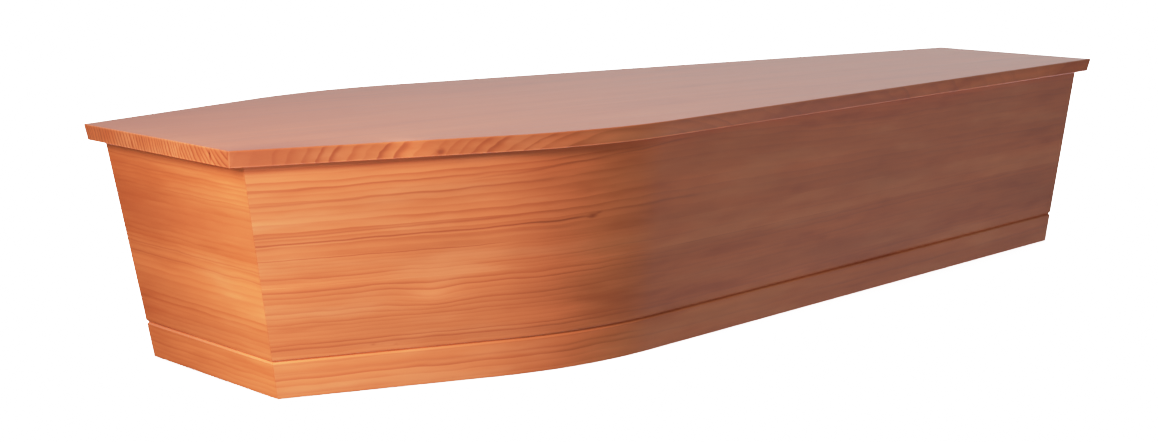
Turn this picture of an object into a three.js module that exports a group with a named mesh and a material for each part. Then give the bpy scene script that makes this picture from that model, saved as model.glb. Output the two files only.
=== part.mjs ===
// A shouldered wooden coffin with a flat lift-off lid, in millimetres, +Z up.
// The origin is on the floor under the middle of the lid. The head end faces -X and the foot end +X.
// Every wall leans outwards. Each side is one board, bent round the shoulder, and the corners are mitred.
import * as THREE from 'three';

// Body, measured on the outside at its top edge
const BODY_LENGTH = 1960;
const HEAD_WIDTH = 400;
const FOOT_WIDTH = 352;
const SHOULDER_WIDTH = 738; // between the points where the straight runs would meet
const SHOULDER_FROM_HEAD = 510;
const BEND_RADIUS = 680;
const BODY_HEIGHT = 347;

// Lean of each wall from the vertical, in degrees
const SIDE_LEAN = 6.3;
const HEAD_LEAN = 9.5;
const FOOT_LEAN = 5.5;

// Boards
const WALL_THICKNESS = 20;
const BASE_THICKNESS = 18;
const GLUE_GAP = 0.3; // between two glued faces
const BEND_STEPS = 14;

// V-groove that runs round the body above the floor
const GROOVE_HEIGHT = 56;
const GROOVE_WIDTH = 6;
const GROOVE_DEPTH = 3;

// Lid
const LID_THICKNESS = 25;
const LID_SIDE_OVERHANG = 14;
const LID_END_OVERHANG = 25;
const LID_SIDE_UNDERCUT = 13.5; // lean of the lid's long edges, in degrees
const LID_END_UNDERCUT = 8; // lean of its head and foot edges

const STAINED_PINE = { color: 0xc9743f, roughness: 0.42, metalness: 0 };
const PLAIN_PINE = { color: 0xc79a68, roughness: 0.7, metalness: 0 };

// One wall in plan: its outward normal, and how far its top edge lies from the origin along it
function wall(normal, pointOnTopEdge, leanDegrees) {
  const lean = THREE.MathUtils.degToRad(leanDegrees);
  return { normal, reach: normal.dot(pointOnTopEdge), slope: Math.tan(lean), stretch: 1 / Math.cos(lean) };
}

// How far outwards of its own top edge a wall's material lies, at a depth below its face and a height
function outset(aWall, depth, height) {
  return (height - BODY_HEIGHT) * aWall.slope - depth * aWall.stretch;
}

// Where two walls meet in plan, each moved outwards by its own outset
function meet(wallA, outsetA, wallB, outsetB) {
  const a = wallA.normal;
  const b = wallB.normal;
  const reachA = wallA.reach + outsetA;
  const reachB = wallB.reach + outsetB;
  const cross = a.x * b.y - a.y * b.x;
  return new THREE.Vector2((reachA * b.y - reachB * a.y) / cross, (a.x * reachB - b.x * reachA) / cross);
}

// The left half of the plan, at +Y, from the head to the foot
const headCorner = new THREE.Vector2(-BODY_LENGTH / 2, HEAD_WIDTH / 2);
const shoulderPoint = new THREE.Vector2(-BODY_LENGTH / 2 + SHOULDER_FROM_HEAD, SHOULDER_WIDTH / 2);
const footCorner = new THREE.Vector2(BODY_LENGTH / 2, FOOT_WIDTH / 2);

function leftOf(from, to) {
  const along = to.clone().sub(from).normalize();
  return new THREE.Vector2(-along.y, along.x);
}

const headWall = wall(new THREE.Vector2(-1, 0), headCorner, HEAD_LEAN);
const footWall = wall(new THREE.Vector2(1, 0), footCorner, FOOT_LEAN);
const headRun = wall(leftOf(headCorner, shoulderPoint), headCorner, SIDE_LEAN);
const footRun = wall(leftOf(shoulderPoint, footCorner), footCorner, SIDE_LEAN);
const bendCentre = meet(headRun, -BEND_RADIUS, footRun, -BEND_RADIUS);

// Points of the bend at an outset of the side, from the head run to the foot run
function bendPoints(sideOutset) {
  const startAngle = headRun.normal.angle();
  const endAngle = footRun.normal.angle();
  const radius = BEND_RADIUS + sideOutset;
  const arc = new THREE.EllipseCurve(bendCentre.x, bendCentre.y, radius, radius, startAngle, endAngle, true);
  return arc.getPoints(BEND_STEPS);
}

// The left half's points at given outsets: the head corner, the bend and the foot corner
function halfOutline(sideOutset, headOutset, footOutset) {
  return [
    meet(headRun, sideOutset, headWall, headOutset),
    ...bendPoints(sideOutset),
    meet(footRun, sideOutset, footWall, footOutset),
  ];
}

// The whole plan as a ring at one height, anticlockwise from above
function outlineRing(sideOutset, headOutset, footOutset, height) {
  const left = halfOutline(sideOutset, headOutset, footOutset);
  const right = left.map((p) => new THREE.Vector2(p.x, -p.y));
  return [...right, ...left.reverse()].map((p) => new THREE.Vector3(p.x, p.y, height));
}

// A closed solid through rings of equal length, with flat ends. capOutline is the ring laid out flat,
// anticlockwise seen from the last ring.
function loft(rings, capOutline) {
  const count = rings[0].length;
  const faces = [];
  for (let r = 0; r + 1 < rings.length; r += 1) {
    for (let i = 0; i < count; i += 1) {
      const a = r * count + i;
      const b = r * count + ((i + 1) % count);
      faces.push(a, b, b + count, a, b + count, a + count);
    }
  }
  const lastStart = (rings.length - 1) * count;
  for (const [a, b, c] of THREE.ShapeUtils.triangulateShape(capOutline, [])) {
    faces.push(c, b, a, lastStart + a, lastStart + b, lastStart + c);
  }
  const geometry = new THREE.BufferGeometry().setFromPoints(rings.flat());
  geometry.setIndex(faces);
  geometry.computeVertexNormals();
  return geometry;
}

// Section of a wall board as depth below its outer face and height, with the V-groove in that face
const WALL_SECTION = [
  { depth: WALL_THICKNESS, height: 0 },
  { depth: 0, height: 0 },
  { depth: 0, height: GROOVE_HEIGHT - GROOVE_WIDTH / 2 },
  { depth: GROOVE_DEPTH, height: GROOVE_HEIGHT },
  { depth: 0, height: GROOVE_HEIGHT + GROOVE_WIDTH / 2 },
  { depth: 0, height: BODY_HEIGHT },
  { depth: WALL_THICKNESS, height: BODY_HEIGHT },
];
const WALL_SECTION_FLAT = WALL_SECTION.map((p) => new THREE.Vector2(-p.depth, p.height));

// A side board: the wall section carried from the head mitre, round the bend, to the foot mitre.
// hand is 1 for the left board, at +Y, and -1 for the right one, whose path runs the other way.
function sideBoard(hand) {
  const lines = WALL_SECTION.map(({ depth, height }) => {
    const points = halfOutline(
      outset(headRun, depth, height),
      outset(headWall, depth, height) - GLUE_GAP / 2,
      outset(footWall, depth, height) - GLUE_GAP / 2,
    );
    return points.map((p) => new THREE.Vector3(p.x, hand * p.y, height));
  });
  const rings = lines[0].map((_, station) => lines.map((line) => line[station]));
  return hand > 0 ? loft(rings, WALL_SECTION_FLAT) : loft(rings.reverse(), WALL_SECTION_FLAT);
}

// An end board: the wall section carried straight from one mitre to the other
function endBoard(endWall, run) {
  const towardsLeft = WALL_SECTION.map(({ depth, height }) => {
    const p = meet(endWall, outset(endWall, depth, height), run, outset(run, depth, height) - GLUE_GAP / 2);
    return new THREE.Vector3(p.x, p.y, height);
  });
  const towardsRight = towardsLeft.map((p) => new THREE.Vector3(p.x, -p.y, p.z));
  const headFirst = endWall.normal.x < 0;
  return loft(headFirst ? [towardsRight, towardsLeft] : [towardsLeft, towardsRight], WALL_SECTION_FLAT);
}

// The base board fills the space between the walls, flush with their lower edges
function baseBoard() {
  const rings = [0, BASE_THICKNESS].map((height) => {
    const inset = (aWall) => outset(aWall, WALL_THICKNESS, height) - GLUE_GAP;
    return outlineRing(inset(headRun), inset(headWall), inset(footWall), height);
  });
  return loft(rings, rings[0].map((p) => new THREE.Vector2(p.x, p.y)));
}

// The lid lies on the body's top edge and overhangs it, with an undercut edge
function lidBoard() {
  const rings = [0, LID_THICKNESS].map((rise) => {
    const side = LID_SIDE_OVERHANG + rise * Math.tan(THREE.MathUtils.degToRad(LID_SIDE_UNDERCUT));
    const end = LID_END_OVERHANG + rise * Math.tan(THREE.MathUtils.degToRad(LID_END_UNDERCUT));
    return outlineRing(side, end, end, BODY_HEIGHT + rise);
  });
  return loft(rings, rings[0].map((p) => new THREE.Vector2(p.x, p.y)));
}

function piece(name, geometry, look) {
  const mesh = new THREE.Mesh(geometry, new THREE.MeshStandardMaterial(look));
  mesh.name = name;
  return mesh;
}

const coffin = new THREE.Group();
coffin.add(
  piece('lid', lidBoard(), STAINED_PINE),
  piece('left_side_board', sideBoard(1), STAINED_PINE),
  piece('right_side_board', sideBoard(-1), STAINED_PINE),
  piece('head_board', endBoard(headWall, headRun), STAINED_PINE),
  piece('foot_board', endBoard(footWall, footRun), STAINED_PINE),
  piece('base_board', baseBoard(), PLAIN_PINE),
);

export default coffin;
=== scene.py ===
# %% [markdown]
# # A stained pine coffin
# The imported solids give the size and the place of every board. This lesson dresses them: each board is
# made again with eased edges and a record of how the wood grows through it, and one set of shader
# groups turns that record into stained, lacquered pine.

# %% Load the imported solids
import math
from collections import namedtuple

import bpy
import numpy as np
from mathutils import Matrix, Vector


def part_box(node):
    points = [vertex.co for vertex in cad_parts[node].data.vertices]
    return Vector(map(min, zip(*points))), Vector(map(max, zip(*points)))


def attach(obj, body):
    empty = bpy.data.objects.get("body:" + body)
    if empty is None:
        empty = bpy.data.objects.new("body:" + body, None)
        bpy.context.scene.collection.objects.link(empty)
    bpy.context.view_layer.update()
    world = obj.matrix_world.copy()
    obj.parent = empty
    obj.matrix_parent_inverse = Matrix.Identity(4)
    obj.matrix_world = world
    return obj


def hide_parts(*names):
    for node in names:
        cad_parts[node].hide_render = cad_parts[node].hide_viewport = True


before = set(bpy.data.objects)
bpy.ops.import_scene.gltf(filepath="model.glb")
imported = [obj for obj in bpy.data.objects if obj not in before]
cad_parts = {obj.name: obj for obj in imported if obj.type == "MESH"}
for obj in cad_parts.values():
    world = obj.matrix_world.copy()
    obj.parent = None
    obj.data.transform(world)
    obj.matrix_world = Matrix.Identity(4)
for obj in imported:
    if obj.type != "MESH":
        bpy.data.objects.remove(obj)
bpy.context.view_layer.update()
print("solids:", sorted(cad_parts))

# %% [markdown]
# ## The plan
# Seen from above, the coffin is a six-sided figure with round shoulders. It could be drawn as a list of
# points, but each wall also leans outwards, so every height has its own outline. A wall is therefore
# kept as its outward direction and the reach of its top edge. A height and a depth below the face then
# give an outset, and two walls meet where two straight lines cross.

# %% The walls in plan
BODY_LENGTH = 1.960
HEAD_WIDTH = 0.400
FOOT_WIDTH = 0.352
SHOULDER_WIDTH = 0.738
SHOULDER_FROM_HEAD = 0.510
BEND_RADIUS = 0.680
BODY_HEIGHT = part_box("lid")[0].z
SIDE_LEAN = math.radians(6.3)
HEAD_LEAN = math.radians(9.5)
FOOT_LEAN = math.radians(5.5)

Wall = namedtuple("Wall", "normal reach slope stretch")


def wall(normal, top_point, lean):
    """A wall by its outward direction in plan: the reach is that direction times a point of the top edge."""
    normal = np.asarray(normal, float)
    return Wall(normal, float(normal @ top_point), math.tan(lean), 1 / math.cos(lean))


def left_of(start, end):
    """The direction to the left of a walk from start to end: the walk's own direction, a quarter turn on."""
    along = (end - start) / np.linalg.norm(end - start)
    return np.array([-along[1], along[0]])


def mirrored(a_wall):
    """The same wall on the other side of the length: only the sideways part of its direction changes."""
    return a_wall._replace(normal=a_wall.normal * (1, -1))


def outset(a_wall, depth, height):
    """Rise above the top edge times the lean, less the depth measured along the level."""
    return (height - BODY_HEIGHT) * a_wall.slope - depth * a_wall.stretch


def meet(wall_a, out_a, wall_b, out_b):
    """Where two walls cross: direction times point equals reach plus outset, twice, by Cramer's rule."""
    (ax, ay), (bx, by) = wall_a.normal, wall_b.normal
    reach_a = wall_a.reach + np.asarray(out_a)
    reach_b = wall_b.reach + np.asarray(out_b)
    cross = ax * by - ay * bx
    return np.stack([(reach_a * by - reach_b * ay) / cross, (ax * reach_b - bx * reach_a) / cross], -1)


head_corner = np.array([-BODY_LENGTH / 2, HEAD_WIDTH / 2])
shoulder_point = np.array([-BODY_LENGTH / 2 + SHOULDER_FROM_HEAD, SHOULDER_WIDTH / 2])
foot_corner = np.array([BODY_LENGTH / 2, FOOT_WIDTH / 2])
HEAD_WALL = wall((-1, 0), head_corner, HEAD_LEAN)
FOOT_WALL = wall((1, 0), foot_corner, FOOT_LEAN)
HEAD_RUN = wall(left_of(head_corner, shoulder_point), head_corner, SIDE_LEAN)
FOOT_RUN = wall(left_of(shoulder_point, foot_corner), foot_corner, SIDE_LEAN)
BEND_CENTRE = meet(HEAD_RUN, -BEND_RADIUS, FOOT_RUN, -BEND_RADIUS)
BEND_TURN = math.acos(HEAD_RUN.normal @ FOOT_RUN.normal)
print("the side bends by", round(math.degrees(BEND_TURN), 2), "degrees about", BEND_CENTRE.round(4))

# %% [markdown]
# ## One way to make every board
# A board is a closed loop of points carried along a row of places. Each point also stores where it lies
# in the wood: how far along the grain, how far across the board and how deep below the face. The finish
# reads that record, so the grain follows the bend, and a cut edge shows the same growth rings as the
# face beside it.

# %% Loft helper and eased corners
SHARP_ANGLE = math.radians(8)
EASE_STEPS = 4


def signed_volume(points):
    """A sixth of the sum of triple products over the side faces and the two end fans."""
    a, b = points[:-1], np.roll(points, -1, axis=1)[:-1]
    c, d = np.roll(points, -1, axis=1)[1:], points[1:]
    sides = np.sum(a * np.cross(b, c)) + np.sum(a * np.cross(c, d))
    first, last = points[0], points[-1]
    fan_first = np.sum(first[0] * np.cross(first[2:], first[1:-1]))
    fan_last = np.sum(last[0] * np.cross(last[1:-1], last[2:]))
    return (sides + fan_first + fan_last) / 6


def loft(name, points, wood):
    """Faces between neighbouring rows of one closed loop, and a flat face on the first and the last row.
    points and wood are arrays of rows, loop and three numbers. A loop whose volume comes out negative
    runs the wrong way and is turned."""
    rows, loop = points.shape[:2]
    if signed_volume(points) < 0:
        points, wood = points[:, ::-1], wood[:, ::-1]
    number = np.arange(rows * loop).reshape(rows, loop)
    after = np.roll(number, -1, axis=1)
    quads = np.stack([number[:-1], after[:-1], after[1:], number[1:]], -1).reshape(-1, 4)
    faces = quads.tolist() + [number[0, ::-1].tolist(), number[-1].tolist()]
    mesh = bpy.data.meshes.new(name)
    mesh.from_pydata(points.reshape(-1, 3).tolist(), [], faces)
    place = mesh.attributes.new("wood", "FLOAT_VECTOR", "POINT")
    place.data.foreach_set("vector", np.ascontiguousarray(wood, dtype=np.float32).ravel())
    mesh.shade_smooth()
    mesh.set_sharp_from_angle(angle=SHARP_ANGLE)
    mesh.validate()
    board = bpy.data.objects.new(name, mesh)
    bpy.context.scene.collection.objects.link(board)
    size = points.reshape(-1, 3).max(0) - points.reshape(-1, 3).min(0)
    print(name, len(mesh.polygons), "faces, size in mm", (size * 1000).round(1))
    return board


def eased(corners, cuts, closed=True, steps=EASE_STEPS):
    """Each corner becomes a short parabola that leaves one side a cut before the corner and joins the
    next side a cut after it: (1-u) squared times the leaving point, plus 2u(1-u) times the corner, plus
    u squared times the joining point. An open line keeps its two end points."""
    corners = np.asarray(corners, float)
    cuts = np.broadcast_to(np.asarray(cuts, float), len(corners))[:, None]
    before = np.roll(corners, 1, axis=0) - corners
    after = np.roll(corners, -1, axis=0) - corners
    leave = corners + cuts * before / np.linalg.norm(before, axis=1, keepdims=True)
    join = corners + cuts * after / np.linalg.norm(after, axis=1, keepdims=True)
    u = np.linspace(0, 1, steps)[None, :, None]
    curve = (1 - u) ** 2 * leave[:, None] + 2 * u * (1 - u) * corners[:, None] + u ** 2 * join[:, None]
    if closed:
        return curve.reshape(-1, 2)
    return np.concatenate([corners[:1], curve[1:-1].reshape(-1, 2), corners[-1:]])


# %% [markdown]
# ## The wall section
# All four walls are cut from one section: a flat board with a V-groove routed round its outer face, about
# three fingers above the floor. Real edges are never knife sharp. Up to a millimetre of easing on each
# arris gives the thin line of light that the eye reads as a made edge. A mitre has the least, because its
# two boards are sanded down together.

# %% Section of a wall board
WALL_THICKNESS = 0.020
GROOVE_HEIGHT = 0.056
GROOVE_WIDTH = 0.006
GROOVE_DEPTH = 0.003
ARRIS = 0.0010
MITRE_ARRIS = 0.0004
GROOVE_ARRIS = 0.0005
INNER_ARRIS = 0.0006

groove_low = GROOVE_HEIGHT - GROOVE_WIDTH / 2
groove_high = GROOVE_HEIGHT + GROOVE_WIDTH / 2
section_corners = [
    (WALL_THICKNESS, 0), (0, 0), (0, groove_low), (GROOVE_DEPTH, GROOVE_HEIGHT),
    (0, groove_high), (0, BODY_HEIGHT), (WALL_THICKNESS, BODY_HEIGHT),
]
section_cuts = [INNER_ARRIS, ARRIS, GROOVE_ARRIS, GROOVE_ARRIS, GROOVE_ARRIS, INNER_ARRIS, INNER_ARRIS]
section = eased(section_corners, section_cuts)
section_depth, section_height = section.T
print("wall section:", len(section), "points")


def drawn_in(depth):
    """The section at a mitre: the face is drawn in by the mitre's arris, and the back stays where it is."""
    return MITRE_ARRIS + depth * (WALL_THICKNESS - MITRE_ARRIS) / WALL_THICKNESS


def wall_board(name, plan, along, stretch):
    """The wall section at every place of its plan. Across the board, the wood lies at the height times
    the stretch of the leaning wall, and its depth is the section's own."""
    level = np.broadcast_to(section_height[:, None], along.shape)
    points = np.concatenate([plan, level[..., None]], -1)
    below = np.broadcast_to(section_depth[:, None], along.shape)
    wood = np.stack([along, level * stretch, below], -1)
    return loft(name, points.swapaxes(0, 1), wood.swapaxes(0, 1))


# %% [markdown]
# ## The side boards
# Each side is one board, bent round the shoulder. It could be cut from a flat sheet and bent with a
# modifier, but the bend is an exact part of a cone, so it is simpler to work it out: straight from the
# head mitre, round an arc whose radius grows with the outset, and straight on to the foot mitre.

# %% Make the two sides
MITRE_GAP = 0.0001
RUN_STEPS = 6
BEND_STEPS = 56
head_angle = math.atan2(HEAD_RUN.normal[1], HEAD_RUN.normal[0])
mid_radius = BEND_RADIUS + float(outset(HEAD_RUN, 0, BODY_HEIGHT / 2))


def straight(start, end, steps):
    """Points from start to end, in equal steps, for every point of the section at once."""
    share = np.linspace(0, 1, steps)[None, :, None]
    return start[:, None] + share * (end - start)[:, None]


def side_rows(depth, height):
    """The left side in plan and its record of the wood. Along the grain, the bend starts at 0 and a
    point of the bend is its angle times the radius at half height; a straight run adds its own length."""
    out = outset(HEAD_RUN, depth, height)
    head_way = np.array([HEAD_RUN.normal[1], -HEAD_RUN.normal[0]])
    foot_way = np.array([FOOT_RUN.normal[1], -FOOT_RUN.normal[0]])

    def mitre(run, end_wall, end_depth):
        side_out = outset(run, end_depth, height)
        return meet(run, side_out, end_wall, outset(end_wall, end_depth, height) - MITRE_GAP / 2)

    radius = BEND_RADIUS + out
    turn = head_angle - np.linspace(0, BEND_TURN, BEND_STEPS)
    bend = BEND_CENTRE + radius[:, None, None] * np.stack([np.cos(turn), np.sin(turn)], -1)
    head_end = mitre(HEAD_RUN, HEAD_WALL, depth) + head_way * MITRE_ARRIS
    foot_end = mitre(FOOT_RUN, FOOT_WALL, depth) - foot_way * MITRE_ARRIS
    plan = np.concatenate([
        mitre(HEAD_RUN, HEAD_WALL, drawn_in(depth))[:, None],
        straight(head_end, bend[:, 0], RUN_STEPS)[:, :-1],
        bend,
        straight(bend[:, -1], foot_end, RUN_STEPS)[:, 1:],
        mitre(FOOT_RUN, FOOT_WALL, drawn_in(depth))[:, None],
    ], axis=1)
    before = (plan - bend[:, :1]) @ head_way
    after = (plan - bend[:, -1:]) @ foot_way
    along = np.zeros(plan.shape[:2])
    along[:, :RUN_STEPS] = before[:, :RUN_STEPS]
    along[:, RUN_STEPS:RUN_STEPS + BEND_STEPS] = np.linspace(0, BEND_TURN, BEND_STEPS) * mid_radius
    along[:, RUN_STEPS + BEND_STEPS:] = BEND_TURN * mid_radius + after[:, RUN_STEPS + BEND_STEPS:]
    return plan, along


def side_board(name, hand):
    """The wall section carried along one side. hand is 1 for the left side, at +Y, and -1 for the right."""
    plan, along = side_rows(section_depth, section_height)
    return wall_board(name, plan * (1, hand), along, HEAD_RUN.stretch)


right_side = side_board("pine_right_side", -1)
left_side = side_board("pine_left_side", 1)

# %% [markdown]
# ## The two ends
# The head and the foot use the same section, carried straight across from mitre to mitre. Their grain
# runs across the coffin, so a row of the loft is simply a place along the width.

# %% Make the head and the foot


def end_board(name, end_wall, run):
    """The wall section carried across an end. The mitre is where the end meets the leaning side, and the
    other end of the board is its mirror image."""
    def mitre(depth):
        side_out = outset(run, depth, section_height) - MITRE_GAP / 2
        return meet(end_wall, outset(end_wall, depth, section_height), run, side_out)

    tip = mitre(drawn_in(section_depth))
    shoulder = mitre(section_depth) - (0, MITRE_ARRIS)
    plan = np.stack([tip, shoulder, shoulder * (1, -1), tip * (1, -1)], 1)
    return wall_board(name, plan, plan[..., 1], end_wall.stretch)


head_end = end_board("pine_head_end", HEAD_WALL, HEAD_RUN)
foot_end = end_board("pine_foot_end", FOOT_WALL, FOOT_RUN)

# %% [markdown]
# ## Panels
# The lid and the base are flat panels of the coffin's own plan, so the plan itself is the loop here and
# the edge's profile gives the rows. Every corner of the plan is an arc between two walls: a large one at
# each shoulder, and one of a millimetre and a half at the head and the foot.

# %% How a panel is made
PANEL_CORNER = 0.0015
CORNER_STEPS = 8
SHOULDERS = (1, 4)


def fillet(wall_a, out_a, wall_b, out_b, radius, steps):
    """An arc between two walls: its centre is where both, moved inwards by the radius, meet, and its
    points are the centre plus the radius times the directions from one normal round to the other."""
    centre = meet(wall_a, out_a - radius, wall_b, out_b - radius)
    start = math.atan2(wall_a.normal[1], wall_a.normal[0])
    turn = math.acos(np.clip(wall_a.normal @ wall_b.normal, -1, 1))
    angle = start + np.linspace(0, turn, steps)
    spokes = np.stack([np.cos(angle), np.sin(angle)], -1)
    return centre[:, None] + np.broadcast_to(radius, len(centre))[:, None, None] * spokes


def panel_plan(side_out, head_out, foot_out):
    """The whole plan, anticlockwise, one loop for each set of outsets. Corners 1 and 4 are the shoulders."""
    ring = [HEAD_WALL, mirrored(HEAD_RUN), mirrored(FOOT_RUN), FOOT_WALL, FOOT_RUN, HEAD_RUN]
    outs = [head_out, side_out, side_out, foot_out, side_out, side_out]
    arcs = []
    for k, (first, out) in enumerate(zip(ring, outs)):
        after = (k + 1) % len(ring)
        radius = np.full_like(side_out, PANEL_CORNER)
        steps = CORNER_STEPS
        if k in SHOULDERS:
            radius = BEND_RADIUS + side_out
            steps = BEND_STEPS
        arcs.append(fillet(first, out, ring[after], outs[after], radius, steps))
    return np.concatenate(arcs, axis=1)


def panel(name, plan, height, face_height):
    """A flat board: the plan's loops, one above the other. Its grain runs along the coffin."""
    level = np.broadcast_to(height[:, None], plan.shape[:2])
    points = np.concatenate([plan, level[..., None]], -1)
    wood = np.stack([points[..., 0], points[..., 1], face_height - points[..., 2]], -1)
    return loft(name, points, wood)


# %% [markdown]
# ## The lid
# The lid lies loose on the walls and hangs over them all round. Its edge is cut back underneath, so the
# rows run out along the underside, up the leaning edge and in along the top. Its arrises are eased a
# little more than those of the walls, because hands take hold of them.

# %% Make the lid
LID_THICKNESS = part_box("lid")[1].z - BODY_HEIGHT
LID_SIDE_OVERHANG = 0.014
LID_END_OVERHANG = 0.025
LID_SIDE_UNDERCUT = math.tan(math.radians(13.5))
LID_END_UNDERCUT = math.tan(math.radians(8))
LID_LOWER_ARRIS = 0.0022
LID_UPPER_ARRIS = 0.0018
LID_INSET = 0.006
LID_EASE_STEPS = 5


def edge_profile(overhang, undercut):
    """Outset and rise along the lid's edge: out on the underside, up the undercut edge, in on the top."""
    top_out = overhang + LID_THICKNESS * undercut
    line = [
        (overhang - LID_INSET, 0),
        (overhang, 0),
        (top_out, LID_THICKNESS),
        (top_out - LID_INSET, LID_THICKNESS),
    ]
    return eased(line, [0, LID_LOWER_ARRIS, LID_UPPER_ARRIS, 0], closed=False, steps=LID_EASE_STEPS).T


side_out, edge_rise = edge_profile(LID_SIDE_OVERHANG, LID_SIDE_UNDERCUT)
end_out, _ = edge_profile(LID_END_OVERHANG, LID_END_UNDERCUT)
lid_plan = panel_plan(side_out, end_out, end_out)
lid = panel("pine_lid", lid_plan, BODY_HEIGHT + edge_rise, BODY_HEIGHT + LID_THICKNESS)

# %% [markdown]
# ## The base
# The base fills the plan between the walls, flush with their lower edges. It could be nailed on from
# below, but then its edge would show under the walls, so it is let in between them with a glue gap.

# %% Make the base
BASE_THICKNESS = 0.018
BASE_GAP = 0.0003
base_height = np.array([0, BASE_THICKNESS])


def base_outset(a_wall):
    """Against the wall's inner face, with the gap of a glued joint."""
    return outset(a_wall, WALL_THICKNESS, base_height) - BASE_GAP


base_plan = panel_plan(base_outset(HEAD_RUN), base_outset(HEAD_WALL), base_outset(FOOT_WALL))
base = panel("pine_base", base_plan, base_height, 0)

# %% [markdown]
# ## Short calls for node trees
# A finish is a tree of nodes. It could be wired by hand in the shader editor, but a formula is easier to
# follow when it reads from top to bottom, so the calls here add a node or two each.

# %% Calls that add nodes
MIX_FIRST = 6
MIX_SECOND = 7
MIX_RESULT = 2


class Wiring:
    """Calls that add a node to a tree, feed its sockets and return its output."""

    def __init__(self, tree):
        self.tree = tree

    def add(self, kind, **settings):
        node = self.tree.nodes.new("ShaderNode" + kind)
        for name, value in settings.items():
            setattr(node, name, value)
        return node

    def feed(self, socket, value):
        if isinstance(value, bpy.types.NodeSocket):
            self.tree.links.new(value, socket)
        else:
            socket.default_value = value

    def wire(self, node, *values):
        for socket, value in zip(node.inputs, values):
            self.feed(socket, value)
        return node.outputs[0]

    def math(self, operation, *values):
        return self.wire(self.add("Math", operation=operation), *values)

    def times(self, first, second):
        return self.math("MULTIPLY", first, second)

    def times_plus(self, first, second, third):
        return self.math("MULTIPLY_ADD", first, second, third)

    def combine(self, x, y, z):
        return self.wire(self.add("CombineXYZ"), x, y, z)

    def split(self, vector):
        node = self.add("SeparateXYZ")
        self.feed(node.inputs[0], vector)
        return tuple(node.outputs)

    def vector(self, operation, first, second):
        return self.wire(self.add("VectorMath", operation=operation), first, second)

    def stretch(self, vector, scales):
        return self.vector("MULTIPLY", vector, scales)

    def dot(self, first, second):
        node = self.add("VectorMath", operation="DOT_PRODUCT")
        self.wire(node, first, second)
        return node.outputs["Value"]

    def feed_named(self, node, **values):
        for name, value in values.items():
            self.feed(node.inputs[name], value)
        return node.outputs

    def group(self, tree, **values):
        return self.feed_named(self.add("Group", node_tree=tree), **values)

    def smooth(self, value, low, high, to_low=0.0, to_high=1.0):
        """An S-shaped step from to_low to to_high as value goes from low to high."""
        node = self.add("MapRange", interpolation_type="SMOOTHSTEP")
        return self.wire(node, value, low, high, to_low, to_high)

    def noise(self, vector, shift, detail=2.0, roughness=0.5):
        """Noise in four dimensions, about -1 to 1, where shift picks another piece of it."""
        node = self.add("TexNoise", noise_dimensions="4D")
        made = self.feed_named(node, Vector=vector, W=shift, Scale=1.0, Detail=detail, Roughness=roughness)
        return self.times_plus(made[0], 2.0, -1.0)

    def mix(self, share, first, second, blend="MIX"):
        node = self.add("Mix", data_type="RGBA", blend_type=blend)
        self.feed(node.inputs[0], share)
        self.feed(node.inputs[MIX_FIRST], first)
        self.feed(node.inputs[MIX_SECOND], second)
        return node.outputs[MIX_RESULT]


def new_group(name, inputs, outputs):
    """A shader group whose sockets are named by kind: its tree, its wiring, its inputs and its outputs."""
    tree = bpy.data.node_groups.new(name, "ShaderNodeTree")
    for in_out, sockets in (("INPUT", inputs), ("OUTPUT", outputs)):
        for kind, names in sockets.items():
            for socket_name in names.split():
                tree.interface.new_socket(socket_name, in_out=in_out, socket_type="NodeSocket" + kind)
    source = tree.nodes.new("NodeGroupInput")
    sink = tree.nodes.new("NodeGroupOutput")
    return tree, Wiring(tree), source.outputs, sink.inputs


# %% [markdown]
# ## Growth rings
# Pine is a stack of rings: pale wood from spring, then a narrow dark line from late summer that stops
# short. A picture of grain could be wrapped on the boards, but then the lid's end grain would not fit its
# top. Here each strip of a board has a pith, the centre of the tree it was cut from, and a point's ring
# is its distance from that pith over the ring width. Slow noise along the grain bends the rings.

# %% Numbers of the growth rings
PITH_SPAN = 1.6
PITH_SPAN_START = -0.6
PITH_DEPTH_SPAN = 0.8
RING_SPAN = 0.02
SEED_SPAN = 61.0
SLOW_WAVE = (1.1, 4.0, 4.0)
QUICK_WAVE = (7.0, 9.0, 9.0)
FINE_WAVE = (19.0, 70.0, 70.0)
QUICK_SHIFT = 7.0
FINE_SHIFT = 9.0
QUICK_REACH = 0.0042
FINE_REACH = 0.0020
UNEVEN_PACE = 0.38
UNEVEN_REACH = 0.80
STRENGTH_POWER = 2.5
WEAKEST_LINE = 0.15
FADE_PACE = 3.2
FADE_PER_RING = 4.7
FADE_LIMITS = (-0.5, 0.4)
FADED_SHARE = 0.25
LINE_RISES = (0.45, 0.90)
RING_STOPS = (0.88, 1.0)
SHADE_RISES = (0.0, 0.95)
WEAKEST_SHADE = 0.3

# %% The growth ring group


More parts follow.
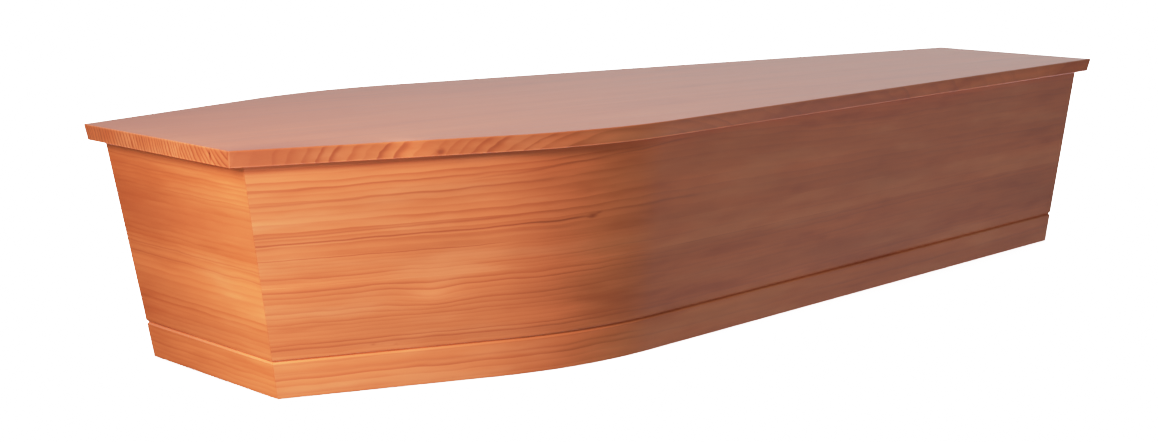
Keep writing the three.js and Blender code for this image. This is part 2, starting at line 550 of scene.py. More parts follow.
def make_growth_rings():
    """Strip holds the pith's place across and below and the ring width, and Tone seeds the noise. The ring
    number is the distance from the pith, bent by slow, quick and fine noise, over the ring width. Line is
    the dark end of a ring, with a strength of its own that also comes and goes along the grain but is at
    least Even."""
    tree, w, given, made = new_group(
        "growth_rings",
        {"Vector": "Place", "Color": "Strip", "Float": "Tone Wander Even"},
        {"Float": "Line Shade Bend"},
    )
    place = given["Place"]
    along, across, below = w.split(place)
    strip_across, strip_below, strip_ring = w.split(given["Strip"])
    pith_across = w.times_plus(strip_across, PITH_SPAN, PITH_SPAN_START)
    pith_below = w.times_plus(strip_below, PITH_DEPTH_SPAN, -PITH_DEPTH_SPAN / 2)
    ring_width = w.times(strip_ring, RING_SPAN)
    seed = w.times(given["Tone"], SEED_SPAN)

    slow = w.noise(w.stretch(place, SLOW_WAVE), seed, detail=1.0)
    quick = w.noise(w.stretch(place, QUICK_WAVE), QUICK_SHIFT, detail=1.0)
    fine = w.noise(w.stretch(place, FINE_WAVE), FINE_SHIFT, detail=1.0)
    bend = w.times_plus(quick, QUICK_REACH, w.times(fine, FINE_REACH))
    bend = w.times_plus(slow, given["Wander"], bend)

    off_across = w.math("SUBTRACT", w.math("ADD", across, bend), pith_across)
    off_below = w.math("SUBTRACT", below, pith_below)
    squares = w.times_plus(off_across, off_across, w.times(off_below, off_below))
    even = w.math("DIVIDE", w.math("SQRT", squares), ring_width)
    uneven = w.noise(w.combine(w.times(even, UNEVEN_PACE), 0.0, 0.0), seed, detail=1.0)
    number = w.times_plus(uneven, UNEVEN_REACH, even)
    cycle = w.math("FRACT", number)
    ring = w.math("FLOOR", number)

    pick = w.add("TexWhiteNoise", noise_dimensions="2D")
    w.feed(pick.inputs["Vector"], w.combine(ring, seed, 0.0))
    chance = pick.outputs["Value"]
    strength = w.math("POWER", chance, STRENGTH_POWER)
    strength = w.times_plus(strength, 1 - WEAKEST_LINE, WEAKEST_LINE)
    fade_along = w.times(along, FADE_PACE)
    fade = w.noise(w.combine(fade_along, w.times(ring, FADE_PER_RING), 0.0), seed)
    strength = w.times(strength, w.smooth(fade, *FADE_LIMITS, FADED_SHARE, 1.0))
    strength = w.math("MAXIMUM", strength, given["Even"])
    stop = w.smooth(cycle, *RING_STOPS, 1.0, 0.0)
    line = w.times(w.smooth(cycle, *LINE_RISES), stop)
    w.feed(made["Line"], w.times(line, strength))
    shade = w.times(w.smooth(cycle, *SHADE_RISES), stop)
    shade_strength = w.times_plus(chance, 1 - WEAKEST_SHADE, WEAKEST_SHADE)
    w.feed(made["Shade"], w.times(shade, shade_strength))
    w.feed(made["Bend"], bend)
    return tree


growth_rings = make_growth_rings()
print("growth ring group:", len(growth_rings.nodes), "nodes")

# %% [markdown]
# ## Swells, knots and strong lines
# Where a branch once stood near, the rings swell round the place and close up again. Moving the place that
# the ring formula reads, by a bell-shaped amount, gives just that, and the same bell can mark a pale swirl
# or a dark pin knot. A few late-wood lines stand out from the rest, and those are listed one by one.

# %% The swell group and the strong line group
LINE_OPENS = 0.12
LINE_CLOSES = 0.06


def make_swell():
    """Place, moved across the board by Lift times e to the minus squared distance from Centre, in Sizes."""
    tree, w, given, made = new_group(
        "grain_swell",
        {"Vector": "Place Centre Sizes", "Float": "Lift"},
        {"Vector": "Place", "Float": "Bell"},
    )
    away = w.vector("DIVIDE", w.vector("SUBTRACT", given["Place"], given["Centre"]), given["Sizes"])
    bell = w.math("EXPONENT", w.times(w.dot(away, away), -1.0))
    shift = w.combine(0.0, w.times(bell, given["Lift"]), 0.0)
    w.feed(made["Place"], w.vector("ADD", given["Place"], shift))
    w.feed(made["Bell"], bell)
    return tree


def make_strong_line():
    """e to the minus squared distance, in widths, of the bent place from Level plus Slope times the place
    along, between Start and End."""
    tree, w, given, made = new_group(
        "strong_line",
        {"Vector": "Place", "Float": "Bend Level Slope Start End Width"},
        {"Float": "Mask"},
    )
    along, across, _ = w.split(given["Place"])
    level = w.times_plus(along, given["Slope"], given["Level"])
    away = w.math("SUBTRACT", w.math("ADD", across, given["Bend"]), level)
    away = w.math("DIVIDE", away, given["Width"])
    bell = w.math("EXPONENT", w.times(w.times(away, away), -1.0))
    opened = w.smooth(along, given["Start"], w.math("ADD", given["Start"], LINE_OPENS))
    closed = w.smooth(along, w.math("SUBTRACT", given["End"], LINE_CLOSES), given["End"], 1.0, 0.0)
    w.feed(made["Mask"], w.times(bell, w.times(opened, closed)))
    return tree


grain_swell = make_swell()
strong_line = make_strong_line()
print("swell and line groups:", len(grain_swell.nodes), "and", len(strong_line.nodes), "nodes")

# %% [markdown]
# ## Stain
# Stain sinks unevenly. It is darkest in the late wood, it lies in long soft bands and slow clouds, and
# fine fibres show as streaks along the grain. The group takes the ring masks and gives back one colour,
# a roughness, and a height for the slight relief that the lacquer leaves.

# %% Waves and amounts of the stain
Wave = namedtuple("Wave", "scales shift detail roughness", defaults=(3.0, 0.5))
BANDS = Wave((1.8, 22.0, 22.0), 3.0)
WARMTH = Wave((2.6, 20.0, 20.0), 5.0)
CLOUDS = Wave((9.0, 7.0, 7.0), 13.0)
MOTTLE = Wave((8.0, 60.0, 60.0), 19.0)
FIBRES = Wave((20.0, 520.0, 520.0), 11.0, 2.0, 0.6)
MIDDLE_TONE = 0.5
MOTTLE_WARMTH = 0.30
WARMTH_GAIN = 1.4
TONE_WARMTH = 4.0
RING_DEPTH = 0.75
TAN_RISES = (-0.05, 0.55)
TAN_MOST = 0.9
SHADED_RISES = (-0.05, -0.60)
SHADED_MOST = 0.8
BAND_LIGHT = 0.28
CLOUD_LIGHT = 0.08
MOTTLE_LIGHT = 0.085
TONE_LIGHT = 0.70
FIBRE_LIGHT = 0.035
PALER_LIGHT = 0.40
DEEP_LIGHT = -0.45
ROUGHNESS = 0.36
LINE_ROUGHNESS = -0.06
FIBRE_ROUGHNESS = 0.04
LINE_RELIEF = 0.5
FIBRE_RELIEF = 0.3


def streaks(w, place, wave):
    """Noise drawn out along the grain, by the wave's own scales."""
    return w.noise(w.stretch(place, wave.scales), wave.shift, wave.detail, wave.roughness)


# %% The stain group


def make_stain():
    """Pale wood shaded by Shade, drawn towards Tan or Shaded by the warmth and towards Late by Line and
    Darker, then multiplied by one plus the sum of bands, clouds, mottle, the strip's tone, fibres and
    Paler. Bands is the share of the slow changes that is kept. What Line and Darker together have beyond
    one darkens the late colour too."""
    tree, w, given, made = new_group(
        "pine_stain",
        {
            "Vector": "Place",
            "Float": "Line Shade Tone Contrast Bands Paler Darker",
            "Color": "Pale Shaded Late Tan",
        },
        {"Color": "Colour", "Float": "Roughness Relief"},
    )
    place = given["Place"]
    fibres = streaks(w, place, FIBRES)
    mottle = streaks(w, place, MOTTLE)
    lean = w.math("SUBTRACT", given["Tone"], MIDDLE_TONE)
    warmth = w.times_plus(mottle, MOTTLE_WARMTH, streaks(w, place, WARMTH))
    warmth = w.times(warmth, WARMTH_GAIN)
    warmth = w.times(w.times_plus(lean, TONE_WARMTH, warmth), given["Bands"])
    depth = w.times(given["Contrast"], RING_DEPTH)
    shaded = w.mix(w.times(given["Shade"], depth), given["Pale"], given["Shaded"])
    toned = w.mix(w.smooth(warmth, *TAN_RISES, 0.0, TAN_MOST), shaded, given["Tan"])
    toned = w.mix(w.smooth(warmth, *SHADED_RISES, 0.0, SHADED_MOST), toned, given["Shaded"])
    late = w.times_plus(given["Line"], depth, given["Darker"])
    lined = w.mix(w.math("MINIMUM", late, 1.0), toned, given["Late"])

    bright = w.times(streaks(w, place, BANDS), BAND_LIGHT)
    bright = w.times_plus(streaks(w, place, CLOUDS), CLOUD_LIGHT, bright)
    bright = w.times_plus(mottle, MOTTLE_LIGHT, bright)
    bright = w.times_plus(lean, TONE_LIGHT, bright)
    bright = w.times_plus(bright, given["Bands"], 1.0)
    bright = w.times_plus(fibres, FIBRE_LIGHT, bright)
    bright = w.times_plus(given["Paler"], PALER_LIGHT, bright)
    deep = w.math("MAXIMUM", w.math("SUBTRACT", late, 1.0), 0.0)
    bright = w.times_plus(deep, DEEP_LIGHT, bright)
    w.feed(made["Colour"], w.mix(1.0, lined, w.combine(bright, bright, bright), "MULTIPLY"))
    rough = w.times_plus(given["Line"], LINE_ROUGHNESS, ROUGHNESS)
    w.feed(made["Roughness"], w.times_plus(fibres, FIBRE_ROUGHNESS, rough))
    fibre_relief = w.times(fibres, FIBRE_RELIEF)
    w.feed(made["Relief"], w.times_plus(given["Line"], LINE_RELIEF, fibre_relief))
    return tree


pine_stain = make_stain()
print("stain group:", len(pine_stain.nodes), "nodes")

# %% [markdown]
# ## A finish for each board
# Every board is glued up from a few strips. A colour ramp with hard steps is a list of them: its position
# is the place across the board, and its four numbers are the pith across, the pith below, the ring width
# and the tone. The boards differ only in that list, in their swells and lines, and in two or three values.
# A swell is paler where its tint is above 0 and darker below it. With a depth and a thickness it keeps to
# one layer of the board, such as the lid's edge.

# %% What a finish is made of
Strip = namedtuple("Strip", "start pith_across pith_below ring tone")
Swell = namedtuple("Swell", "along across length width lift tint depth thickness", defaults=(0.0, 1.0))
Line = namedtuple("Line", "level slope start end width depth")
Fade = namedtuple("Fade", "start end share")
LACQUER_IOR = 1.48
RELIEF_STRENGTH = 0.30
RELIEF_HEIGHT = 0.0001
GROOVE_DULLNESS = 0.60
EDGE_DEPTHS = (0.0005, 0.0050)
REDDER_TINT = (1.0, 0.95, 0.85, 1.0)
STAINED = {
    "Pale": (0.650, 0.174, 0.058, 1.0), "Shaded": (0.510, 0.114, 0.035, 1.0),
    "Late": (0.345, 0.074, 0.025, 1.0), "Tan": (0.690, 0.212, 0.079, 1.0),
}
REDDER = {name: tuple(np.multiply(colour, REDDER_TINT)) for name, colour in STAINED.items()}
PLAIN = {
    "Pale": (0.640, 0.430, 0.235, 1.0), "Shaded": (0.540, 0.340, 0.170, 1.0),
    "Late": (0.360, 0.200, 0.085, 1.0), "Tan": (0.600, 0.420, 0.240, 1.0),
}


def strip_ramp(w, place, span, strips):
    """Colour and alpha of the strip at a place, with hard steps at the strips' edges."""
    low, high = span
    ramp = w.add("ValToRGB")
    ramp.color_ramp.interpolation = "CONSTANT"
    steps = ramp.color_ramp.elements
    for k, strip in enumerate(strips):
        step = steps[k] if k < len(steps) else steps.new(1.0)
        step.position = (strip.start - low) / (high - low)
        step.color = (
            (strip.pith_across - PITH_SPAN_START) / PITH_SPAN,
            (strip.pith_below + PITH_DEPTH_SPAN / 2) / PITH_DEPTH_SPAN,
            strip.ring / RING_SPAN,
            strip.tone,
        )
    w.feed(ramp.inputs[0], w.math("DIVIDE", w.math("SUBTRACT", w.split(place)[1], low), high - low))
    return ramp.outputs["Color"], ramp.outputs["Alpha"]


def total(w, values):
    """The sum of values, some of them sockets."""
    result = 0.0
    for value in values:
        result = w.math("ADD", result, value)
    return result


def line_mask(w, place, line, bend):
    """The mask of one line, bent like the rings, or straight where bend is 0."""
    made = w.group(strong_line, Place=place, Bend=bend, Level=line.level, Slope=line.slope,
                   Start=line.start, End=line.end, Width=line.width)
    return made["Mask"]


# %% How a finish is put together


def board_finish(name, span, strips, swells=(), lines=(), wander=0.010, contrast=1.0, fades=(), face=1.0,
                 groove=None, end_lines=None, colours=STAINED):
    """Stained and lacquered pine. span is the board's reach across its grain. Each fade takes the contrast
    along the grain, from all of it at its start to its share at its end, and face is the share that is
    left on the face while the board's edges keep it all. groove is a line of painted shade along the
    routed groove, that no noise bends and that dulls the lacquer. end_lines gives the end grain, up to its
    end along the board, rings of one strength, its share. Some swell entries are painted light and shade."""
    material = bpy.data.materials.new(name)
    material.use_nodes = True
    w = Wiring(material.node_tree)
    shader = material.node_tree.nodes["Principled BSDF"]
    place = w.add("Attribute", attribute_name="wood").outputs["Vector"]
    strip, tone = strip_ramp(w, place, span, strips)
    along, _, below = w.split(place)
    for fade in fades:
        contrast = w.times(contrast, w.smooth(along, fade.start, fade.end, 1.0, fade.share))
    bands = w.smooth(below, *EDGE_DEPTHS, face, 1.0)
    contrast = w.times(contrast, bands)
    paler, darker = [], []
    for swell in swells:
        made = w.group(grain_swell, Place=place, Centre=(swell.along, swell.across, swell.depth),
                       Sizes=(swell.length, swell.width, swell.thickness), Lift=swell.lift)
        amounts = paler if swell.tint > 0 else darker
        amounts.append(w.times(made["Bell"], abs(swell.tint)))
        place = made["Place"]
    even = 0.0
    if end_lines:
        even = w.smooth(along, end_lines.start, end_lines.end, end_lines.share, 0.0)
    rings = w.group(growth_rings, Place=place, Strip=strip, Tone=tone, Wander=wander, Even=even)
    for line in lines:
        darker.append(w.times(line_mask(w, place, line, rings["Bend"]), line.depth))
    duller = 0.0
    # Painted shade along the groove: its line darkens the stain where the groove lies in shade.
    if groove:
        mask = line_mask(w, place, groove, 0.0)
        darker.append(w.times(mask, groove.depth))
        duller = w.times(mask, GROOVE_DULLNESS)
    stain = w.group(pine_stain, Place=place, Line=rings["Line"], Shade=rings["Shade"], Tone=tone,
                    Contrast=contrast, Bands=bands, Paler=total(w, paler), Darker=total(w, darker), **colours)
    w.feed(shader.inputs["Base Color"], stain["Colour"])
    w.feed(shader.inputs["Roughness"], w.math("ADD", stain["Roughness"], duller))
    shader.inputs["IOR"].default_value = LACQUER_IOR
    bump = w.add("Bump")
    bump.inputs["Strength"].default_value = RELIEF_STRENGTH
    bump.inputs["Distance"].default_value = RELIEF_HEIGHT
    w.feed(bump.inputs["Height"], stain["Relief"])
    w.feed(shader.inputs["Normal"], bump.outputs["Normal"])
    print(name, len(material.node_tree.nodes), "nodes")
    return material


# %% [markdown]
# ## The near side
# The photograph shows this face best. Its strips, its strongest lines, the knot on the bend and the pale
# swirl could be painted, but one row of numbers each is enough. Beyond the bend the grain all but
# disappears, so a fade takes most of its contrast.

# %% Finish of the near side
SIDE_SPAN = (0, BODY_HEIGHT * HEAD_RUN.stretch)
# The groove's line is painted shade: it darkens the stain along the groove, where its slopes lie in shade.
GROOVE_SHADE_WIDTH = 0.0032
GROOVE_SHADE_DEPTH = 0.32
side_strips = [
    Strip(0.0, 0.32, 0.19, 0.0092, 0.53),
    Strip(0.0563, 0.32, 0.19, 0.0052, 0.49),
    Strip(0.166, 0.42, 0.03, 0.0052, 0.55),
    Strip(0.21, 0.08, 0.17, 0.008, 0.5),
]
side_swells_and_painted_light = [
    Swell(-0.1, 0.134, 0.05, 0.02, 0.008, 0.15),
    Swell(-0.1, 0.15, 0.035, 0.012, 0.0, 0.32),
    Swell(-0.34, 0.168, 0.11, 0.008, 0.0, 0.45),
    Swell(0.33, 0.33, 0.42, 0.09, -0.02, 0.01),
    Swell(0.158, 0.2315, 0.008, 0.003, 0.003, -0.75),
    Swell(0.17, 0.235, 0.006, 0.0015, 0.0, -0.45),
    Swell(-0.19, 0.07, 0.004, 0.0015, 0.0, -0.35),
    Swell(-0.155, 0.067, 0.004, 0.0012, 0.0, -0.3),
    # Painted shade: darker at the far end of the foot run, where the lacquer mirrors less light.
    Swell(1.56, 0.19, 0.15, 0.2, 0.0, -0.08),
    Swell(0.12, 0.19, 0.11, 0.3, 0.0, -0.22),
    Swell(-0.26, 0.026, 0.26, 0.03, 0.0, 0.5),
    Swell(-0.26, 0.325, 0.2, 0.03, 0.0, 0.25),
    Swell(1.5, 0.305, 0.04, 0.016, 0.0, -0.2),
    # Painted light: paler along the groove on the head run, lifting the groove's own shade.
    Swell(-0.13, GROOVE_HEIGHT * HEAD_RUN.stretch, 0.1, 0.0035, 0.0, 0.35),
    Swell(0.11, 0.095, 0.08, 0.035, 0.0, 0.16),
    Swell(0.8, 0.325, 0.25, 0.03, 0.0, 0.3),
    Swell(1.3, 0.04, 0.3, 0.05, 0.0, 0.18),
]
side_lines = [
    Line(0.231, 0.004, -0.56, 0.175, 0.0014, 0.95),
    Line(0.244, 0.01, -0.56, 0.05, 0.0014, 0.6),
    Line(0.222, 0.0, -0.2, 0.15, 0.0022, 0.25),
    Line(0.2335, 0.01, 0.13, 0.42, 0.0018, 0.35),
    Line(0.305, 0.04, -0.1, 0.38, 0.0014, 0.4),
    Line(0.292, 0.012, -0.56, 0.12, 0.0014, 0.45),
    Line(0.312, 0.012, -0.56, 0.02, 0.0012, 0.35),
    Line(0.036, 0.004, -0.42, 0.3, 0.0018, 0.3),
    Line(0.071, 0.0, -0.48, 0.15, 0.003, 0.22),
    Line(0.1, 0.0, 0.65, 1.7, 0.016, 0.16),
]


def groove_shade_line(a_wall, start, end):
    """Painted shade along the groove of a wall, as a line in its wood, from start to end along the grain."""
    return Line(GROOVE_HEIGHT * a_wall.stretch, 0.0, start, end, GROOVE_SHADE_WIDTH, GROOVE_SHADE_DEPTH)


right_finish = board_finish("pine_finish_right", SIDE_SPAN, side_strips, side_swells_and_painted_light, side_lines,
                            fades=[Fade(-0.06, 0.36, 0.27)], groove=groove_shade_line(HEAD_RUN, 0.10, 1.80))

# %% [markdown]
# ## The head
# The head board is a little redder. A narrow pale swell along the whole board is a painted highlight
# on the lower slope of its groove, and two broad swells paint it paler at the near corner and darker
# towards the far one, as painted light and shade.

# %% Finish of the head
END_SPAN = (0, BODY_HEIGHT * HEAD_WALL.stretch)
GROOVE_HIGHLIGHT_DROP = 0.0012
head_strips = [
    Strip(0.0, 0.28, 0.16, 0.007, 0.46),
    Strip(0.095, -0.06, 0.14, 0.008, 0.49),
    Strip(0.205, 0.42, 0.2, 0.0076, 0.44),
    Strip(0.288, 0.06, 0.07, 0.0064, 0.44),
]
head_lines = [
    Line(0.192, 0.0, -0.4, 0.4, 0.0014, 0.42),
    Line(0.176, 0.0, -0.4, 0.4, 0.0016, 0.48),
    Line(0.318, 0.0, -0.3, 0.2, 0.0012, 0.35),
    Line(0.252, 0.0, -0.4, 0.4, 0.03, 0.48),
    Line(0.085, 0.0, -0.4, 0.4, 0.022, 0.22),
]
head_painted_light = [
    # Painted shade towards the far corner, then painted light at the near corner.
    Swell(0.12, 0.2, 0.15, 0.3, 0.0, -0.2),
    Swell(-0.15, 0.17, 0.08, 0.25, 0.0, 0.2),
    # Painted highlight on the lower slope of the groove.
    Swell(0.0, (GROOVE_HEIGHT - GROOVE_HIGHLIGHT_DROP) * HEAD_WALL.stretch, 1.0, 0.002, 0.0, 0.36),
]
head_finish = board_finish("pine_finish_head", END_SPAN, head_strips, head_painted_light, head_lines, wander=0.006,
                           contrast=0.65, colours=REDDER)

# %% [markdown]
# ## The hidden sides
# The far side and the foot are hidden from the camera. They get the same stain and the same painted
# shade along the groove over three plain strips, without knots or strong lines.

# %% Finishes of the far side and the foot
plain_strips = [
    Strip(0.0, -0.14, 0.12, 0.007, 0.49),
    Strip(0.128, 0.42, 0.16, 0.006, 0.53),
    Strip(0.245, 0.06, 0.12, 0.0075, 0.51),
]
left_finish = board_finish("pine_finish_left", SIDE_SPAN, plain_strips, contrast=0.8,
                           groove=groove_shade_line(HEAD_RUN, -0.70, 1.80))
foot_finish = board_finish("pine_finish_foot", END_SPAN, plain_strips, wander=0.006, contrast=0.65,
                           groove=groove_shade_line(FOOT_WALL, -0.50, 0.50))

# %% [markdown]
# ## The lid and the base
# The lid's edge is the liveliest wood: end grain at the head, flames along the near side, a crack and a
# knot. Its face is calm under the lacquer and keeps less than half the contrast. Two swells as thin as
# the arrises are painted highlights on them. Other swells paint shade on the lid towards the head and
# light on its near edge towards the foot. The base has the same strips, unstained.

# %% Finishes of the lid and the base
LID_SPAN = (-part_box("lid")[1].y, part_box("lid")[1].y)
HEAD_EDGE = (-1.0045, -1.0025)
lid_strips = [
    Strip(-0.38, -0.5, 0.115, 0.0068, 0.48),
    Strip(-0.205, -0.24, -0.055, 0.0098, 0.43),
    Strip(-0.08, -0.28, -0.04, 0.0078, 0.49),
    Strip(0.062, -0.2, -0.045, 0.009, 0.5),
    Strip(0.185, 0.232, 0.024, 0.006, 0.46),
    Strip(0.282, 0.42, -0.09, 0.0066, 0.49),
]
lid_swells_and_painted_light = [
    Swell(-1.006, -0.158, 0.006, 0.0024, 0.003, -1.6, 0.011, 0.007),
    Swell(-0.716, -0.305, 0.006, 0.01, 0.006, -1.3, 0.019, 0.0045),
    Swell(-0.765, -0.288, 0.03, 0.04, 0.0, 1.0),
    Swell(-0.975, -0.222, 0.12, 0.05, 0.0, -0.55),
    # Painted shade: darker across the lid towards the head, where the lamp falls strongest.
    Swell(-0.99, 0.0, 0.25, 0.6, 0.0, -0.3),
    Swell(0.0, 0.08, 0.5, 0.3, 0.0, 0.15),
    # Painted shade: darker on the near part of the top towards the head.
    Swell(-0.8, -0.37, 0.45, 0.14, 0.0, -0.34, 0.0, 0.01),
    # Painted light: paler on the near edge at the shoulder and towards the foot, which face away from the
    # lamp.
    Swell(-0.3, -0.37, 0.2, 0.1, 0.0, 0.45, 0.014, 0.009),
    Swell(0.55, -0.25, 0.6, 0.2, 0.0, 0.55, 0.014, 0.009),
    # Painted highlights: paler along the upper and the lower arris all round.
    Swell(0.0, 0.0, 5.0, 5.0, 0.0, 0.45, 0.001, 0.0006),
    Swell(0.0, 0.0, 5.0, 5.0, 0.0, 1.4, 0.024, 0.001),
]
lid_finish = board_finish("pine_finish_lid", LID_SPAN, lid_strips, lid_swells_and_painted_light, wander=0.006, contrast=2.1,
                          fades=[Fade(*HEAD_EDGE, 0.25), Fade(-0.980, -0.950, 3.0), Fade(-0.66, -0.30, 0.25)],
                          face=0.45, end_lines=Fade(*HEAD_EDGE, 0.64))
base_finish = board_finish("pine_finish_base", LID_SPAN, lid_strips, wander=0.012, colours=PLAIN)

# %% [markdown]
# ## Put the boards on the frame
# Each dressed board rides on the one body and stands for its solid, which stays for collision.

# %% Ride, replace and finish
dressed = [
    (lid, "lid", lid_finish, "stained_pine"),
    (right_side, "right_side_board", right_finish, "stained_pine"),
    (left_side, "left_side_board", left_finish, "stained_pine"),
    (head_end, "head_board", head_finish, "stained_pine"),
    (foot_end, "foot_board", foot_finish, "stained_pine"),
    (base, "base_board", base_finish, "plain_pine"),
]
for board, node, finish, slot in dressed:
    board.data.materials.append(finish)
    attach(board, "root")
    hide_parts(node)
print("dressed boards:", [board.name for board, *_ in dressed])

# %% [markdown]
# ## Camera
# The camera was solved from the photograph: its place, where it looks, a slight roll and the focal length
# in pixels of a picture 1158 pixels wide.

# %% Place the camera
PICTURE_WIDTH = 1158
FOCAL_PIXELS = 2023.0
CAMERA_PLACE = (-2.440412, -2.606501, 0.744921)
CAMERA_YAW = 0.711587
CAMERA_PITCH = 0.170095
CAMERA_ROLL = 0.004567
SENSOR_WIDTH = 36.0
CLIP_END = 200.0

camera_data = bpy.data.cameras.new("camera")
camera_data.sensor_width = SENSOR_WIDTH
camera_data.lens = SENSOR_WIDTH * FOCAL_PIXELS / PICTURE_WIDTH
camera_data.clip_end = CLIP_END
camera = bpy.data.objects.new("camera", camera_data)
bpy.context.scene.collection.objects.link(camera)
forward = Vector((math.sin(CAMERA_YAW) * math.cos(CAMERA_PITCH),
                  math.cos(CAMERA_YAW) * math.cos(CAMERA_PITCH), -math.sin(CAMERA_PITCH)))
level_right = Vector((math.cos(CAMERA_YAW), -math.sin(CAMERA_YAW), 0))
level_down = forward.cross(level_right)
right = math.cos(CAMERA_ROLL) * level_right + math.sin(CAMERA_ROLL) * level_down
up = math.sin(CAMERA_ROLL) * level_right - math.cos(CAMERA_ROLL) * level_down
turned = Matrix((right, up, -forward)).transposed()
camera.matrix_world = Matrix.Translation(CAMERA_PLACE) @ turned.to_4x4()
bpy.context.scene.camera = camera
print("lens in mm:", round(camera_data.lens, 3))

# %% [markdown]
# ## Floor
# The photograph has a plain white ground that throws no colour on the boards. The floor is a wide pale
# disk just under the coffin. Only the camera sees it, so it neither shades nor lights anything.

# %% Make the floor
FLOOR_RADIUS = 60.0
FLOOR_DROP = 0.0005
FLOOR_SIDES = 96
FLOOR_COLOUR = (0.9, 0.9, 0.9, 1.0)
FLOOR_ROUGHNESS = 0.9

floor_turn = np.linspace(0, 2 * math.pi, FLOOR_SIDES, endpoint=False)
floor_points = np.stack([np.cos(floor_turn) * FLOOR_RADIUS, np.sin(floor_turn) * FLOOR_RADIUS,
                         np.full_like(floor_turn, -FLOOR_DROP)], -1)
floor_mesh = bpy.data.meshes.new("floor")
floor_mesh.from_pydata(floor_points.tolist(), [], [list(range(len(floor_points)))])
floor = bpy.data.objects.new("floor", floor_mesh)
bpy.context.scene.collection.objects.link(floor)
floor_finish = bpy.data.materials.new("floor_finish")
floor_finish.use_nodes = True
floor_shader = floor_finish.node_tree.nodes["Principled BSDF"]
floor_shader.inputs["Base Color"].default_value = FLOOR_COLOUR
floor_shader.inputs["Roughness"].default_value = FLOOR_ROUGHNESS
floor_mesh.materials.append(floor_finish)
floor.visible_diffuse = False
floor.visible_glossy = False
floor.visible_shadow = False
print("floor radius in metres:", FLOOR_RADIUS)

# %% [markdown]
# ## Room
# Lacquer mirrors what stands round it, and that decides how each face looks. Real walls and sheets of
# paper would do, but a world that answers by the kind of ray is easier to steer. A mirrored ray finds
# paper and a wall to the right and behind, and a floor below them. A scattered ray finds a soft fill,
# and a ray from the camera finds plain white.

# %% What a mirrored ray finds
Glow = namedtuple("Glow", "start full amount")
HORIZON = (-0.04, 0.04)
FACING = (0.9, 0.43, 0.0)
PAPER = Glow(0.51, 0.63, 1.47)
PAPER_END = Glow(0.62, 0.72, -1.03)
LOW_PAPER_END = Glow(0.655, 0.705, -0.44)
WALL = Glow(0.64, 0.95, 0.70)
FAR_FLOOR = Glow(-0.40, -0.60, 0.12)
NEAR_FLOOR = Glow(-0.72, -0.90, 2.4)
BEYOND_FACING = Glow(0.74, 0.84, 1.0)
BEYOND_HEIGHT = Glow(-0.35, -0.50, 3.4)
FRONT = (-0.5, -0.85, 0.0)
FRONT_GLOW = Glow(0.66, 0.85, 0.25)
BACK = (-0.22, 0.84, 0.49)
BACK_GLOW = Glow(0.86, 0.98, 1.3)

world = bpy.data.worlds.new("room")
bpy.context.scene.world = world
world.use_nodes = True
room = Wiring(world.node_tree)
ray_direction = room.add("TexCoord").outputs["Generated"]


def shine(value, glow):
    """Nothing before the glow's start, and its whole amount from full on."""
    return room.smooth(value, glow.start, glow.full, 0.0, glow.amount)


facing = room.dot(ray_direction, FACING)
ray_height = room.split(ray_direction)[2]
above = room.smooth(ray_height, *HORIZON)
under = room.smooth(ray_height, *HORIZON, 1.0, 0.0)
mirrored_parts = [
    shine(facing, PAPER),
    shine(facing, PAPER_END),
    room.times(shine(facing, LOW_PAPER_END), under),
    room.times(shine(facing, WALL), above),
    shine(ray_height, FAR_FLOOR),
    shine(ray_height, NEAR_FLOOR),
    room.times(shine(facing, BEYOND_FACING), shine(ray_height, BEYOND_HEIGHT)),
    shine(room.dot(ray_direction, FRONT), FRONT_GLOW),
    shine(room.dot(ray_direction, BACK), BACK_GLOW),
]
glow = total(room, mirrored_parts)
print("mirrored room:", len(world.node_tree.nodes), "nodes")

# %% The fill, the white ground and the room together
CEILING = (0.30, 0.76, 0.58)
CEILING_FILL = Glow(0.3, 1.0, 0.25)
FILL = 0.18
FLOOR_FILL = 0.40
FILL_HEIGHTS = (-0.3, 0.3)
GROUND_GLOW = 4.0
LOW_PAPER_TINT = (1.0, 0.96, 1.12, 1.0)
TINT_FALLS = (-0.55, -0.70)
WHITE = (1.0, 1.0, 1.0, 1.0)

background = world.node_tree.nodes["Background"]
ray = room.add("LightPath").outputs
tinted = room.times(under, room.smooth(ray_height, *TINT_FALLS, 1.0, 0.0))
tinted = room.times(tinted, ray["Is Glossy Ray"])
room.feed(background.inputs["Color"], room.mix(tinted, WHITE, LOW_PAPER_TINT))
fill = room.smooth(ray_height, *FILL_HEIGHTS, FLOOR_FILL, FILL)
fill = room.math("ADD", fill, shine(room.dot(ray_direction, CEILING), CEILING_FILL))
strength = room.times(ray["Is Camera Ray"], GROUND_GLOW)
strength = room.times_plus(ray["Is Diffuse Ray"], fill, strength)
strength = room.times_plus(ray["Is Glossy Ray"], glow, strength)
room.feed(background.inputs["Strength"], strength)
print("whole room:", len(world.node_tree.nodes), "nodes")

# %% [markdown]
# ## Lamps
# One soft lamp stands close to the head corner, and a wide one in the floor before it gives back the
# light that a pale floor would. Neither is mirrored in the lacquer. The floor has a lamp of its own, which
# lights nothing else, so that it stays white.

# %% Make the lamps
KEY_PLACE = Vector((-2.10, -0.71, 0.92))
KEY_AIM = Vector((-0.90, -0.29, 0.14))
KEY_POWER = 8.85
KEY_SIZE = 0.60
KEY_SPREAD = math.radians(68)
BOUNCE_PLACE = Vector((-1.72, -0.62, -0.0002))
BOUNCE_POWER = 5.0
BOUNCE_SIZE = 1.4
FLOOR_LAMP_POWER = 22.0
FLOOR_LAMP_ANGLE = math.radians(70)


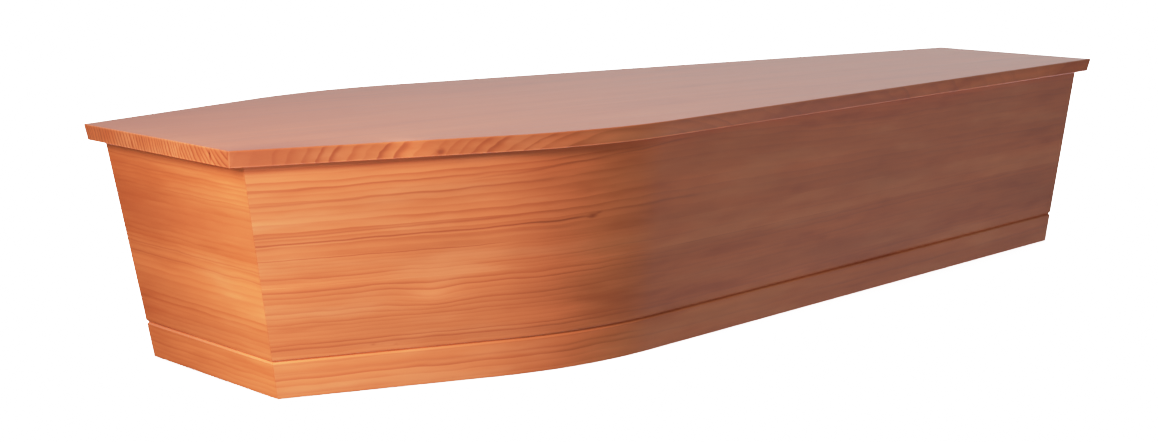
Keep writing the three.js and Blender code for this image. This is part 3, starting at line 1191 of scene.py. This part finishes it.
def disk_lamp(name, place, size, power):
    """A round lamp that neither the camera nor the lacquer shows."""
    data = bpy.data.lights.new(name, "AREA")
    data.shape = "DISK"
    data.size = size
    data.energy = power
    lamp = bpy.data.objects.new(name, data)
    lamp.location = place
    lamp.visible_camera = False
    lamp.visible_glossy = False
    bpy.context.scene.collection.objects.link(lamp)
    return lamp


key = disk_lamp("key", KEY_PLACE, KEY_SIZE, KEY_POWER)
key.data.spread = KEY_SPREAD
key.rotation_euler = (KEY_AIM - KEY_PLACE).to_track_quat("-Z", "Y").to_euler()
bounce = disk_lamp("floor_bounce", BOUNCE_PLACE, BOUNCE_SIZE, BOUNCE_POWER)
bounce.rotation_euler = (math.pi, 0, 0)

floor_lamp_data = bpy.data.lights.new("floor_lamp", "SUN")
floor_lamp_data.energy = FLOOR_LAMP_POWER
floor_lamp_data.angle = FLOOR_LAMP_ANGLE
floor_lamp = bpy.data.objects.new("floor_lamp", floor_lamp_data)
bpy.context.scene.collection.objects.link(floor_lamp)
lit_by_it = bpy.data.collections.new("lit_by_floor_lamp")
lit_by_it.objects.link(floor)
floor_lamp.light_linking.receiver_collection = lit_by_it

# %% [markdown]
# ## Film
# A camera rolls bright reds off gently where a plain transfer would clip them. A curve over the plain
# transfer does the same: straight up to the middle tones, then a soft shoulder.

# %% Colour management
FILM_WHITE = 4.0
COMBINED_CURVE = 3
FILM_POINTS = ((0.0, 0.0), (0.30, 0.30), (0.60, 0.585), (1.15, 0.83), (2.0, 0.955), (4.0, 1.0))
settings = bpy.context.scene.view_settings
settings.view_transform = "Standard"
settings.look = "None"
settings.use_curve_mapping = True
film = settings.curve_mapping
film.extend = "HORIZONTAL"
film.white_level = (FILM_WHITE, FILM_WHITE, FILM_WHITE)
curve = film.curves[COMBINED_CURVE]
while len(curve.points) > 2:
    curve.points.remove(curve.points[1])
curve.points[0].location = (0.0, 0.0)
curve.points[1].location = (1.0, 1.0)
for scene_value, shown_value in FILM_POINTS[1:-1]:
    curve.points.new(scene_value / FILM_WHITE, shown_value)
film.update()
print("film curve:", len(curve.points), "points")
